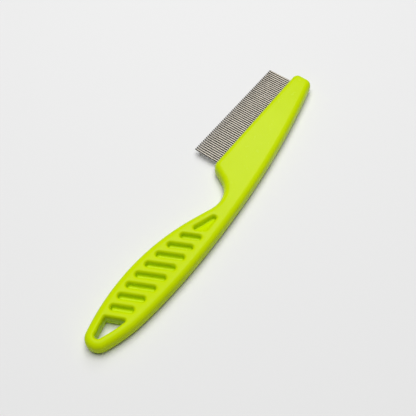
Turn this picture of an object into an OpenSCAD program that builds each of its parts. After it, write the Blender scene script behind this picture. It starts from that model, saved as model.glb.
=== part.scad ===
// Flea comb: one moulded plastic handle that carries a row of fine steel pins.
// The comb lies flat: X runs from the grip to the tip, Y towards the points of the pins, Z up.
// The origin is under the middle of the comb, on the face that it rests on.

/* [Handle] */
// Thickness of the handle
body_t = 8; // [7:0.5:9]
// Radius that rounds the long edges of the handle
edge_r = 3; // [2:0.25:3]
// Width of the solid border between the slots and the back of the grip
border = 5.4; // [4.5:0.1:5.5]
// Depth of the grip slots, and of the thumb recess at its wall on the crown side, on each face
slot_depth = 3.2; // [1:0.1:3.2]
// Slope of the floor of the thumb recess
thumb_tilt = 25; // [0:1:30]

/* [Grip slots] */
// Number of slanted slots
slot_count = 8; // [4:1:8]
// Width of a slot
slot_w = 2.3; // [2.2:0.1:3]
// Distance from one slot to the next, along the comb
slot_pitch = 6.23; // [5.5:0.01:6.23]
// Lean of the slots away from square
slot_lean = 27; // [20:1:30]

/* [Pins] */
// Number of pins
pin_count = 53; // [20:1:53]
// Distance from one pin to the next
pin_pitch = 1.27; // [1.1:0.01:1.27]
// Thickness of a pin
pin_d = 0.95; // [0.6:0.05:1]
// Length of a pin, from its hidden root to its point
pin_length = 21.3; // [18:0.1:24]

/* [Pin bar] */
// Width of the bar that spaces the pins inside the head
bar_w = 3.2; // [2:0.1:4]
// Thickness of that bar
bar_t = 3; // [2:0.1:4]

/* [Hidden] */
pin_names = [for (i = [1 : pin_count]) str("pin_", i < 10 ? "0" : "", i)];

$fn = 48;
play = 0.5;               // how far a cutter runs past the face that it opens
mid_z = body_t / 2;       // height of the pins and of the parting plane
pin_x = 18.9;             // first pin, at the heel of the head
pin_point_y = 19.8;       // line of the points
pin_root_y = pin_point_y - pin_length;
bar_y = 1;                // middle of the pin bar
bar_end = 1.5;            // how far the bar runs past the outer pins
slot_line_y = -9.1;       // height at which the places along the grip are measured
hole_x = -73.7;           // side of the hanging hole that faces the slots
slot_x = -68.4;           // first slot
thumb_x = -20.5;          // side of the thumb recess that faces the slots
thumb_end_x = -9.2;       // blunt end of the thumb recess, at the neck
thumb_wall = [-21.3, -7.5]; // point on the recess's wall on the crown side
thumb_turn = -19.6;       // direction of that wall
hollow_r = 1.05;          // rounding of the corners of the slots and of the thumb recess
hole_border = 4.5;        // width of the solid border round the hanging hole
hole_r = 0.4;             // rounding of the corners of the hanging hole
crown_shift = 0.45;       // how far the slots and the thumb recess sit off centre, to the crown
end_x = -95;              // beyond the end of the grip

// The outline is a chain of straight runs whose corners are rounded: [x, y, radius] of each
// corner, clockwise from the tip. The long curves are corners with a very large radius.
CORNERS = [
    [89.4, 6.2, 3.2],     // tip, beside the last pin
    [89.1, -4, 3.9],      // tip, at the back
    [26.2, -19, 505],     // back of the head and neck
    [-48.3, -20, 310],    // back of the grip
    [-75.2, -17.2, 66],   // back of the grip, towards its end
    [-89.7, -11.7, 5.8],  // end of the grip
    [-88.9, -3.5, 5.5],   // end of the grip
    [-49.5, 8, 111],      // crown of the grip
    [4.8, -12, 13.5],     // hollow for the finger, at the neck
    [14.4, 5.5, 4.5]      // heel, beside the first pin
];
corner_count = len(CORNERS);
chord_gap = 0.04;         // how far a straight facet may cut inside its arc
edge_steps = 5;           // facets across one rounded edge
fan_x = 10;               // a straight line from here on the back reaches all of the outline

function corner(i) = CORNERS[(i + corner_count) % corner_count];
function place(i) = [corner(i)[0], corner(i)[1]];
function direction(i) = (place(i + 1) - place(i)) / norm(place(i + 1) - place(i));
function bend(i) = let (u = direction(i - 1), v = direction(i))
    atan2(u[0] * v[1] - u[1] * v[0], u * v);

// Centre of the arc at corner i, and the angle at which the arc starts.
function arc_centre(i) = let (u = direction(i - 1), r = corner(i)[2], side = sign(bend(i)))
    place(i) - u * r * tan(abs(bend(i)) / 2) + side * r * [-u[1], u[0]];
function arc_start(i) = let (u = direction(i - 1)) atan2(u[1], u[0]) - sign(bend(i)) * 90;

// Points along the arc at corner i, moved inwards by inset.
function arc_points(i, inset) = let (
        r = corner(i)[2],
        moved_r = r + sign(bend(i)) * inset,
        steps = max(2, ceil(abs(bend(i)) / (2 * acos(1 - chord_gap / r))))
    )
    [for (k = [0 : steps]) let (a = arc_start(i) + bend(i) * k / steps)
        arc_centre(i) + moved_r * [cos(a), sin(a)]];

function outline(inset = 0) = [for (i = [0 : corner_count - 1]) each arc_points(i, inset)];

// The same outline, listed from the first point past fan_x, which lies on the back. The end
// faces of the handle then split into triangles that fan out from there.
function fan_start(points, k = 0) = points[k][0] < fan_x ? k : fan_start(points, k + 1);
function turned(points, start) = [for (k = [0 : len(points) - 1]) points[(k + start) % len(points)]];

// Heights and insets of the rings that make a full-round edge, from the bottom face up.
function edge_rings() = concat(
    [for (k = [0 : edge_steps]) let (a = 90 * (1 - k / edge_steps))
        [edge_r * (1 - sin(a)), edge_r * (1 - cos(a))]],
    [for (k = [0 : edge_steps]) let (a = 90 * k / edge_steps)
        [body_t - edge_r * (1 - sin(a)), edge_r * (1 - cos(a))]]
);

// The handle before anything is cut from it: the outline, stacked ring by ring.
module blank() {
    rings = edge_rings();
    start = fan_start(outline());
    size = len(outline());
    top = (len(rings) - 1) * size;
    points = [for (r = rings) each [for (p = turned(outline(r[1]), start)) [p[0], p[1], r[0]]]];
    walls = [for (j = [0 : len(rings) - 2], k = [0 : size - 1])
        let (next = (k + 1) % size, low = j * size, high = low + size)
        [low + k, high + k, high + next, low + next]];
    bottom_face = [for (k = [0 : size - 1]) k];
    top_face = [for (k = [size - 1 : -1 : 0]) top + k];
    polyhedron(points, concat(walls, [bottom_face, top_face]));
}

// The part of the grip inside a border, between two slanted lines that cross slot_line_y at
// x = from and x = to, with its corners rounded to r. A shift leaves the border at the back as it
// is, and thins the border at the crown by twice as much.
module hollow_shape(from, to, inset, r, shift) {
    lean = tan(slot_lean);
    reach = 30;
    offset(r = r) offset(delta = -r) intersection() {
        translate([0, shift]) polygon(outline(inset - shift));
        polygon([for (e = [[from, 1], [to, 1], [to, -1], [from, -1]])
            [e[0] - e[1] * reach * lean, slot_line_y + e[1] * reach]]);
        translate([end_x, -2 * reach]) square([thumb_end_x - end_x, 4 * reach]);
    }
}

// A hollow that is as deep as a slot, in the top face.
module blind_hollow(from, to) {
    translate([0, 0, body_t - slot_depth]) linear_extrude(slot_depth + play)
        hollow_shape(from, to, border, hollow_r, crown_shift);
}

// Its children, and their mirror image in the bottom face.
module on_both_faces() {
    children();
    translate([0, 0, body_t]) mirror([0, 0, 1]) children();
}

module grip_slots() {
    half = slot_w / 2 / cos(slot_lean);
    for (i = [0 : slot_count - 1]) {
        x = slot_x + i * slot_pitch;
        on_both_faces() blind_hollow(x - half, x + half);
    }
}

// The floor of the recess climbs from the wall on the crown side towards the back.
module thumb_recess() {
    size = 40;
    on_both_faces() difference() {
        blind_hollow(thumb_x, -thumb_x);
        translate([thumb_wall[0], thumb_wall[1], body_t - slot_depth])
            rotate([-thumb_tilt, 0, thumb_turn]) translate([-size / 2, -size, -size]) cube(size);
    }
}

module hanging_hole() {
    translate([0, 0, -play]) linear_extrude(body_t + 2 * play)
        hollow_shape(2 * end_x, hole_x, hole_border, hole_r, 0);
}

module at_pin(i) {
    translate([pin_x + i * pin_pitch, pin_root_y, mid_z]) rotate([-90, 0, 0]) children();
}

module pin_bores() {
    for (i = [0 : pin_count - 1]) at_pin(i) cylinder(d = pin_d, h = pin_length);
}

module bar_block() {
    length = (pin_count - 1) * pin_pitch + 2 * bar_end;
    translate([pin_x - bar_end, bar_y - bar_w / 2, mid_z - bar_t / 2]) cube([length, bar_w, bar_t]);
}

module handle() color("greenyellow") difference() {
    blank();
    hanging_hole();
    grip_slots();
    thumb_recess();
    bar_block();
    pin_bores();
}

// Strip that holds the pins at their spacing while the handle is moulded round it.
module pin_bar() color("dimgray") difference() {
    bar_block();
    pin_bores();
}

// Round steel pin with a ball point, so that it doesn't scratch the skin.
module pin(i) color("silver") at_pin(i) {
    cylinder(d = pin_d, h = pin_length - pin_d / 2);
    translate([0, 0, pin_length - pin_d / 2]) sphere(d = pin_d);
}

handle();
pin_bar();
for (i = [0 : pin_count - 1])
    pin(i);
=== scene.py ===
import math

import bpy
import bmesh
from mathutils import Matrix, Vector
from mathutils.geometry import delaunay_2d_cdt


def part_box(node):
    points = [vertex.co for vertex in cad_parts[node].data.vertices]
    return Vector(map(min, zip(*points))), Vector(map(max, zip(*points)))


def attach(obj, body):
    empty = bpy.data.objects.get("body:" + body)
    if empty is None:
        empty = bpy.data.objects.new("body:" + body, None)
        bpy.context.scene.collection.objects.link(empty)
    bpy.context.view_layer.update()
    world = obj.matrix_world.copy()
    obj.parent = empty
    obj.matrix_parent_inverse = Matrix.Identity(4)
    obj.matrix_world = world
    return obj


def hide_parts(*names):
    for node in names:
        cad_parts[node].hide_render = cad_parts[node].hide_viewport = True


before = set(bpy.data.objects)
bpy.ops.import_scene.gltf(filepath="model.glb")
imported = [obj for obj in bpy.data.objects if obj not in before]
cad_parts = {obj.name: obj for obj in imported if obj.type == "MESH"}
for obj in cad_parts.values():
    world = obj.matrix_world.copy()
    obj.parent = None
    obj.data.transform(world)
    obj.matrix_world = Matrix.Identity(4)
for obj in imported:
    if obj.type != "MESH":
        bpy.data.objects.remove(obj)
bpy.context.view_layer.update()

# Every length is in millimetres until Shell.build and the placing functions turn it into metres.
# X runs from the grip to the tip, Y towards the points of the pins, Z up.
MM = 0.001

# ---------------------------------------------------------------- camera

VIEW_AZIMUTH = 306.25      # 0 looks along +Y, with +X to the right
VIEW_ELEVATION = 56.42
VIEW_DISTANCE = 311.1
VIEW_TARGET = (-3.5, -4.4, 0)
VIEW_LENS = 57.4


def turn_to(thing, place, aim):
    """Puts a camera or a light at place, facing aim."""
    thing.location = Vector(place) * MM
    thing.rotation_mode = "QUATERNION"
    thing.rotation_quaternion = (Vector(aim) - Vector(place)).to_track_quat("-Z", "Y")
    bpy.context.scene.collection.objects.link(thing)


def make_camera():
    azimuth = math.radians(VIEW_AZIMUTH)
    elevation = math.radians(VIEW_ELEVATION)
    level = Vector((math.sin(azimuth), -math.cos(azimuth), 0))
    back = level * math.cos(elevation) + Vector((0, 0, math.sin(elevation)))
    data = bpy.data.cameras.new("camera")
    data.lens = VIEW_LENS
    data.clip_start = 0.01
    data.clip_end = 10
    camera = bpy.data.objects.new("camera", data)
    turn_to(camera, Vector(VIEW_TARGET) + back * VIEW_DISTANCE, VIEW_TARGET)
    bpy.context.scene.camera = camera


make_camera()

# ---------------------------------------------------------------- design values, as in the CAD model

# Corners of the outline, [x, y, radius], clockwise from the tip.
OUTLINE = [
    (89.4, 6.2, 3.2),
    (89.1, -4, 3.9),
    (26.2, -19, 505),
    (-48.3, -20, 310),
    (-75.2, -17.2, 66),
    (-89.7, -11.7, 5.8),
    (-88.9, -3.5, 5.5),
    (-49.5, 8, 111),
    (4.8, -12, 13.5),
    (14.4, 5.5, 4.5),
]
EDGE_R = 3                 # full-round edges of the handle
BORDER = 5.4               # solid border between the slots and the back
CROWN_SHIFT = 0.45         # the slots sit this far off centre, towards the crown of the grip
SLOT_DEPTH = 3.2           # also of the thumb recess, at its wall on the crown side
SLOT_COUNT = 8
SLOT_W = 2.3
SLOT_PITCH = 6.23
SLOT_LEAN = math.radians(27)
SLOT_X = -68.4
SLOT_LINE_Y = -9.1
HOLLOW_R = 1.05
GRIP_END_X = -10           # the slots all lie on the grip side of this

# Corners of the thumb recess and of the hanging hole, clockwise.
THUMB = [
    (-21.3, -7.5, 1.05),
    (-9.2, -11.8, 0.95),
    (-9.2, -13.6, 0.95),
    (-18, -14.05, 1.05),
]
HOLE = [
    (-84.9, -8.7, 1.3),
    (-84.7, -6.9, 1.0),
    (-75.9, -4.7, 0.4),
    (-71.9, -12.7, 0.4),
    (-77.1, -11.6, 50),
]
THUMB_TILT = math.radians(25)      # the recess's floor climbs, from its wall on the crown side
THUMB_TURN = math.radians(19.6)    # direction of that wall, away from X

handle_low, handle_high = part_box("handle")
BODY_T = (handle_high.z - handle_low.z) / MM
MID_Z = (handle_high.z + handle_low.z) / 2 / MM
PINS = sorted(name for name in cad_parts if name.startswith("pin_") and name != "pin_bar")

# ---------------------------------------------------------------- mesh tools

ARC_GAP = 0.006            # how far a straight edge may cut inside its arc
RUN_STEP = 3.0             # longest edge along a straight run
RIM_STEPS = 6              # facets across a small fillet
EDGE_STEPS = 12            # facets across the full-round edge


def chain(corners, grow=0.0):
    """Points round a clockwise loop of rounded corners, moved outwards by grow."""
    arcs = []
    reach = []
    count = len(corners)
    for i, (x, y, radius) in enumerate(corners):
        at = Vector((x, y))
        come = (at - Vector(corners[i - 1][:2])).normalized()
        leave = (Vector(corners[(i + 1) % count][:2]) - at).normalized()
        bend = come.angle_signed(leave)
        side = 1 if bend > 0 else -1
        right = Vector((come.y, -come.x))
        tangent = radius * math.tan(abs(bend) / 2)
        centre = at - come * tangent + right * side * radius
        steps = max(3, math.ceil(abs(bend) / (2 * math.acos(1 - ARC_GAP / radius))))
        spokes = [Matrix.Rotation(-bend * k / steps, 2) @ (-side * right) for k in range(steps + 1)]
        arcs.append([centre + spoke * (radius + side * grow) for spoke in spokes])
        reach.append(tangent)
    points = []
    for i, arc in enumerate(arcs):
        after = (i + 1) % count
        run = (Vector(corners[after][:2]) - Vector(corners[i][:2])).length - reach[i] - reach[after]
        parts = max(1, math.ceil(run / RUN_STEP))
        points += arc
        points += [arc[-1].lerp(arcs[after][0], k / parts) for k in range(1, parts)]
    return points


def quarter(width, height, steps=RIM_STEPS):
    """(sideways, upwards) travel along a quarter ellipse that starts upright and ends level."""
    turns = [math.pi / 2 * k / steps for k in range(steps + 1)]
    return [(width * (1 - math.cos(a)), height * math.sin(a)) for a in turns]


class Shell:
    """Collects the points and faces of one closed mesh."""

    def __init__(self):
        self.points = []
        self.faces = []

    def add(self, points):
        start = len(self.points)
        self.points += [Vector(p) for p in points]
        return list(range(start, len(self.points)))

    def ring(self, flat, z):
        return self.add([(p.x, p.y, z) for p in flat])

    def stack(self, rings):
        """Walls between each ring of points and the next."""
        size = len(rings[0])
        for first, second in zip(rings, rings[1:]):
            for k in range(size):
                after = (k + 1) % size
                self.faces.append((first[k], first[after], second[after], second[k]))

    def fill(self, loops):
        """Triangles between an outer loop and the convex loops inside it."""
        used = [i for loop in loops for i in loop]
        place = {index: k for k, index in enumerate(used)}
        flat = [self.points[i].to_2d() for i in used]
        edges = [(place[loop[k - 1]], place[loop[k]]) for loop in loops for k in range(len(loop))]
        found = delaunay_2d_cdt(flat, edges, [], 1, 1e-7)
        original = [used[sources[0]] for sources in found[3]]
        inner = [set(loop) for loop in loops[1:]]
        for face in found[2]:
            corners = [original[k] for k in face]
            if not any(loop.issuperset(corners) for loop in inner):
                self.faces.append(tuple(corners))

    def build(self, name, material):
        mesh = bpy.data.meshes.new(name)
        mesh.from_pydata([p * MM for p in self.points], [], self.faces)
        work = bmesh.new()
        work.from_mesh(mesh)
        bmesh.ops.recalc_face_normals(work, faces=work.faces)
        work.to_mesh(mesh)
        work.free()
        mesh.shade_smooth()
        mesh.materials.append(material)
        piece = bpy.data.objects.new(name, mesh)
        bpy.context.scene.collection.objects.link(piece)
        return piece


# ---------------------------------------------------------------- materials

NOISE_MIDDLE = (0.3, 0.7)  # most of a noise texture lies between these


def new_material(name):
    material = bpy.data.materials.new(name)
    material.use_nodes = True
    nodes = material.node_tree.nodes
    return material, nodes, material.node_tree.links, nodes["Principled BSDF"]


def noise(nodes, links, source, scale, detail=2.0):
    node = nodes.new("ShaderNodeTexNoise")
    node.inputs["Scale"].default_value = scale
    node.inputs["Detail"].default_value = detail
    links.new(source, node.inputs["Vector"])
    return node.outputs["Fac"]


def part_of(nodes, links, source, axis):
    """One axis of a vector."""
    node = nodes.new("ShaderNodeSeparateXYZ")
    links.new(source, node.inputs["Vector"])
    return node.outputs[axis]


def remap(nodes, links, source, before, after):
    """Maps the range before to the range after, and holds the ends."""
    node = nodes.new("ShaderNodeMapRange")
    node.inputs["From Min"].default_value = before[0]
    node.inputs["From Max"].default_value = before[1]
    node.inputs["To Min"].default_value = after[0]
    node.inputs["To Max"].default_value = after[1]
    links.new(source, node.inputs["Value"])
    return node.outputs["Result"]


def mixed(nodes, links, factor, colours):
    node = nodes.new("ShaderNodeMix")
    node.data_type = "RGBA"
    node.inputs["A"].default_value = (*colours[0], 1)
    node.inputs["B"].default_value = (*colours[1], 1)
    links.new(factor, node.inputs["Factor"])
    return node.outputs["Result"]


def bump(nodes, links, height, distance, strength, under=None):
    node = nodes.new("ShaderNodeBump")
    node.inputs["Distance"].default_value = distance * MM
    node.inputs["Strength"].default_value = strength
    links.new(height, node.inputs["Height"])
    if under is not None:
        links.new(under, node.inputs["Normal"])
    return node.outputs["Normal"]


LIME = ((0.545, 0.715, 0.0), (0.56, 0.73, 0.001))
SHEEN_X = (-50, 40)        # the moulding reflects less on the grip than on the head
SHEEN = (0.05, 0.17)


def lime_plastic():
    """Satin plastic, a little uneven in shade and in surface, with a fine grain from the mould."""
    material, nodes, links, shader = new_material("lime_plastic")
    where = nodes.new("ShaderNodeTexCoord").outputs["Object"]
    flow = remap(nodes, links, noise(nodes, links, where, 60), NOISE_MIDDLE, (0, 1))
    links.new(mixed(nodes, links, flow, LIME), shader.inputs["Base Color"])
    polish = noise(nodes, links, where, 350, 3)
    links.new(remap(nodes, links, polish, NOISE_MIDDLE, (0.22, 0.28)), shader.inputs["Roughness"])
    ends = [x * MM for x in SHEEN_X]
    sheen = remap(nodes, links, part_of(nodes, links, where, "X"), ends, SHEEN)
    links.new(sheen, shader.inputs["Specular IOR Level"])
    waves = bump(nodes, links, noise(nodes, links, where, 110, 1), 0.2, 0.15)
    grain = bump(nodes, links, noise(nodes, links, where, 6000), 0.02, 0.35, waves)
    links.new(grain, shader.inputs["Normal"])
    return material


# Painted light on the pins: the dark colour is painted shade on the flanks, the bright one a painted
# highlight on the crest.
PIN_SHADE_AND_HIGHLIGHT = ((0.04, 0.032, 0.022), (0.36, 0.33, 0.28))
SHADED_FLANK_Z = 0.15             # height on a pin, from its middle, up to which the flank is painted dark as shade
HIGHLIGHT_CREST_Z = 0.33             # height from which the crest is painted bright as a highlight


def steel():
    """Steel, painted bright along the crest of a pin as a highlight and painted dark on its flanks as
    shade.
    """
    material, nodes, links, shader = new_material("pin_steel")
    where = nodes.new("ShaderNodeTexCoord").outputs["Object"]
    height = nodes.new("ShaderNodeMath")
    height.operation = "ABSOLUTE"
    links.new(part_of(nodes, links, where, "Z"), height.inputs[0])
    # Painted shade on the flanks and a painted highlight on the crest, chosen by height on the pin
    highlight_share = remap(nodes, links, height.outputs[0], (SHADED_FLANK_Z * MM, HIGHLIGHT_CREST_Z * MM), (0, 1))
    links.new(mixed(nodes, links, highlight_share, PIN_SHADE_AND_HIGHLIGHT), shader.inputs["Base Color"])
    shader.inputs["Metallic"].default_value = 1.0
    drawn = nodes.new("ShaderNodeMapping")
    drawn.inputs["Scale"].default_value = (9000, 350, 9000)
    links.new(where, drawn.inputs["Vector"])
    lines = noise(nodes, links, drawn.outputs["Vector"], 1, 3)
    links.new(remap(nodes, links, lines, NOISE_MIDDLE, (0.35, 0.41)), shader.inputs["Roughness"])
    links.new(bump(nodes, links, lines, 0.002, 0.2), shader.inputs["Normal"])
    return material


DARK = ((0.012, 0.012, 0.013), (0.022, 0.022, 0.023))


def bar_plastic():
    material, nodes, links, shader = new_material("bar_plastic")
    where = nodes.new("ShaderNodeTexCoord").outputs["Object"]
    grain = noise(nodes, links, where, 2500, 3)
    colour = mixed(nodes, links, remap(nodes, links, grain, NOISE_MIDDLE, (0, 1)), DARK)
    links.new(colour, shader.inputs["Base Color"])
    links.new(remap(nodes, links, grain, NOISE_MIDDLE, (0.5, 0.65)), shader.inputs["Roughness"])
    links.new(bump(nodes, links, grain, 0.03, 0.4), shader.inputs["Normal"])
    return material


# ---------------------------------------------------------------- handle

HOLE_RIM_W = 1.3           # width and height of the rounding of the hanging hole's rims
HOLE_RIM_H = 2.6
SLOT_RIM_W = 1.3           # the same, for the rims of the slots and of the recess
SLOT_RIM_H = 2.0
WALL_IN = 0.1              # how far their walls stand in from the mean width, for that rounding
FLOOR_R = 0.8              # rounding between their walls and floors
SEAM = 0.04                # height of the parting line's ridge
SEAM_W = 0.12              # half its width at its foot
SEAM_TOP = 0.04            # half its width at its top
# Marks on the underside, [x, y, radius, depth]: three ejector pins and the gate.
MARKS = [
    (74, -1.5, 2, 0.12),
    (46, -3.5, 2.5, 0.12),
    (20, -6, 2.5, 0.12),
    (60, -2.5, 1.1, 0.25),
]
MARK_SIDES = 32
MARK_WALL = 0.15           # how much narrower the floor of a mark is than its rim


def slot_corners(index):
    """Corners of one slanted slot, where its sides meet the border."""
    edge = chain(OUTLINE, -(BORDER - CROWN_SHIFT))
    edge = [Vector((p.x, p.y + CROWN_SHIFT)) for p in edge if p.x < GRIP_END_X]
    middle = SLOT_X + index * SLOT_PITCH
    half = SLOT_W / 2 / math.cos(SLOT_LEAN)
    corners = []
    for x in (middle - half, middle + half):
        ends = []
        for first, second in zip(edge, edge[1:]):
            over = [p.x - x + (p.y - SLOT_LINE_Y) * math.tan(SLOT_LEAN) for p in (first, second)]
            if over[0] * over[1] <= 0 and over[0] != over[1]:
                ends.append(first.lerp(second, over[0] / (over[0] - over[1])))
        ends.sort(key=lambda p: p.y)
        corners.append(ends)
    (left_low, left_high), (right_low, right_high) = corners
    return [(p.x, p.y, HOLLOW_R) for p in (left_high, right_high, right_low, left_low)]


def outer_rings(shell):
    """The rounded side of the handle, from the edge of its underside up to the edge of its top."""
    turns = [math.pi / 2 * k / EDGE_STEPS for k in range(EDGE_STEPS + 1)]
    steps = [(-EDGE_R * (1 - math.sin(a)), EDGE_R * (1 - math.cos(a))) for a in turns]
    seam = [(0, -SEAM_W), (SEAM, -SEAM_TOP), (SEAM, SEAM_TOP), (0, SEAM_W)]
    side = [(grow, MID_Z + rise) for grow, rise in seam]
    top = [(grow, BODY_T - z) for grow, z in reversed(steps)]
    return [shell.ring(chain(OUTLINE, grow), z) for grow, z in steps + side + top]


def hollow_rings(shell, corners, face_z, into, tilt=0):
    """A blind hollow with soft sides, from its rim at face_z to its floor. into is -1 on the top face.

    A floor with a tilt climbs away from the wall that starts at the first corner."""
    levels = [(side, SLOT_RIM_H - rise) for side, rise in reversed(quarter(SLOT_RIM_W, SLOT_RIM_H))]
    levels += [(-side, SLOT_DEPTH - FLOOR_R + down) for side, down in quarter(FLOOR_R, FLOOR_R)]
    start = Vector(corners[0][:2])
    out = Vector((math.sin(THUMB_TURN), math.cos(THUMB_TURN)))
    rings = []
    for side, depth in levels:
        points = []
        for p in chain(corners, side - WALL_IN):
            share = 1 - math.tan(tilt) * (start - p).dot(out) / SLOT_DEPTH
            points.append((p.x, p.y, face_z + into * depth * min(1, share)))
        rings.append(shell.add(points))
    shell.stack(rings)
    shell.fill([rings[-1]])
    return rings[0]


def hole_rings(shell, corners):
    """The hanging hole, from its rim on the top face to its rim on the underside."""
    rim = quarter(HOLE_RIM_W, HOLE_RIM_H)
    rings = [shell.ring(chain(corners, side), BODY_T - HOLE_RIM_H + rise) for side, rise in reversed(rim)]
    rings += [shell.ring(chain(corners, side), HOLE_RIM_H - rise) for side, rise in rim]
    shell.stack(rings)
    return rings[0], rings[-1]


def disc_mark(shell, x, y, radius, depth):
    """A round mark that the mould leaves on the underside: an ejector pin's, or the gate's."""
    turns = [-2 * math.pi * k / MARK_SIDES for k in range(MARK_SIDES)]
    rims = [(radius, 0), (radius - MARK_WALL * 2 / 3, depth * 0.3), (radius - MARK_WALL, depth)]
    rings = [shell.add([(x + r * math.cos(a), y + r * math.sin(a), z) for a in turns]) for r, z in rims]
    shell.stack(rings)
    shell.fill([rings[-1]])
    return rings[0]


def make_handle(material):
    shell = Shell()
    sides = outer_rings(shell)
    shell.stack(sides)
    hole_top, hole_bottom = hole_rings(shell, HOLE)
    hollows = [(slot_corners(i), 0) for i in range(SLOT_COUNT)] + [(THUMB, THUMB_TILT)]
    top = [hollow_rings(shell, corners, BODY_T, -1, tilt) for corners, tilt in hollows]
    bottom = [hollow_rings(shell, corners, 0, 1, tilt) for corners, tilt in hollows]
    marks = [disc_mark(shell, *mark) for mark in MARKS]
    shell.fill([sides[0], hole_bottom] + bottom + marks)
    shell.fill([sides[-1], hole_top] + top)
    piece = shell.build("handle_moulding", material)
    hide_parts("handle")
    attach(piece, "root")


# ---------------------------------------------------------------- pins

PIN_SIDES = 20
POINT_LENGTH = 0.9
POINT_STEPS = 8
ROOT_CHAMFER = 0.1         # at the cut end of the wire, as a share of its radius


def pin_shell():
    """One pin along +Y, from its root at y = 0 to its rounded point."""
    low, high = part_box(PINS[0])
    radius = (high.x - low.x) / 2 / MM
    length = (high.y - low.y) / MM
    profile = [(0, radius * (1 - ROOT_CHAMFER)), (radius * ROOT_CHAMFER, radius)]
    for k in range(POINT_STEPS):
        turn = math.pi / 2 * k / POINT_STEPS
        profile.append((length - POINT_LENGTH * (1 - math.sin(turn)), radius * math.cos(turn)))
    shell = Shell()
    around = [2 * math.pi * k / PIN_SIDES for k in range(PIN_SIDES)]
    rings = [shell.add([(r * math.cos(a), y, r * math.sin(a)) for a in around]) for y, r in profile]
    shell.stack(rings)
    shell.faces.append(tuple(rings[0]))
    tip = shell.add([(0, length, 0)])[0]
    last = rings[-1]
    shell.faces += [(last[k - 1], last[k], tip) for k in range(PIN_SIDES)]
    return shell


def make_pins(material):
    shape = pin_shell().build("pin_shape", material)
    for name in PINS:
        low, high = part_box(name)
        piece = bpy.data.objects.new("steel_" + name, shape.data)
        piece.location = ((low.x + high.x) / 2, low.y, (low.z + high.z) / 2)
        bpy.context.scene.collection.objects.link(piece)
        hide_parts(name)
        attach(piece, "root")
    bpy.data.objects.remove(shape)


def finish_bar(material):
    """The hidden bar keeps its CAD mesh, and gets a material."""
    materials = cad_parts["pin_bar"].data.materials
    materials.clear()
    materials.append(material)


# ---------------------------------------------------------------- stage

FLOOR_REACH = 2.0          # metres
PAPER = 0.79


def make_floor():
    mesh = bpy.data.meshes.new("floor")
    corners = [(x * FLOOR_REACH, y * FLOOR_REACH, 0) for x, y in ((-1, -1), (1, -1), (1, 1), (-1, 1))]
    mesh.from_pydata(corners, [], [(0, 1, 2, 3)])
    material, nodes, links, shader = new_material("floor_paper")
    shader.inputs["Base Color"].default_value = (PAPER, PAPER, PAPER, 1)
    shader.inputs["Roughness"].default_value = 0.9
    shader.inputs["Specular IOR Level"].default_value = 0.0
    mesh.materials.append(material)
    floor = bpy.data.objects.new("floor", mesh)
    bpy.context.scene.collection.objects.link(floor)


def area_light(name, place, aim, size, power):
    data = bpy.data.lights.new(name, "AREA")
    data.shape = "DISK"
    data.size = size * MM
    data.energy = power
    turn_to(bpy.data.objects.new(name, data), place, aim)


def make_lights():
    area_light("key", (80, 75, 1200), (60, 50, 0), 1050, 15.4)
    area_light("sheen", (380, 220, 560), (0, -5, 0), 300, 0.7)
    world = bpy.data.worlds.new("world")
    world.use_nodes = True
    background = world.node_tree.nodes["Background"]
    background.inputs["Color"].default_value = (1, 1, 1, 1)
    background.inputs["Strength"].default_value = 0.05
    bpy.context.scene.world = world
    bpy.context.scene.view_settings.view_transform = "Standard"


# ---------------------------------------------------------------- build

make_handle(lime_plastic())
make_pins(steel())
finish_bar(bar_plastic())
make_floor()
make_lights()
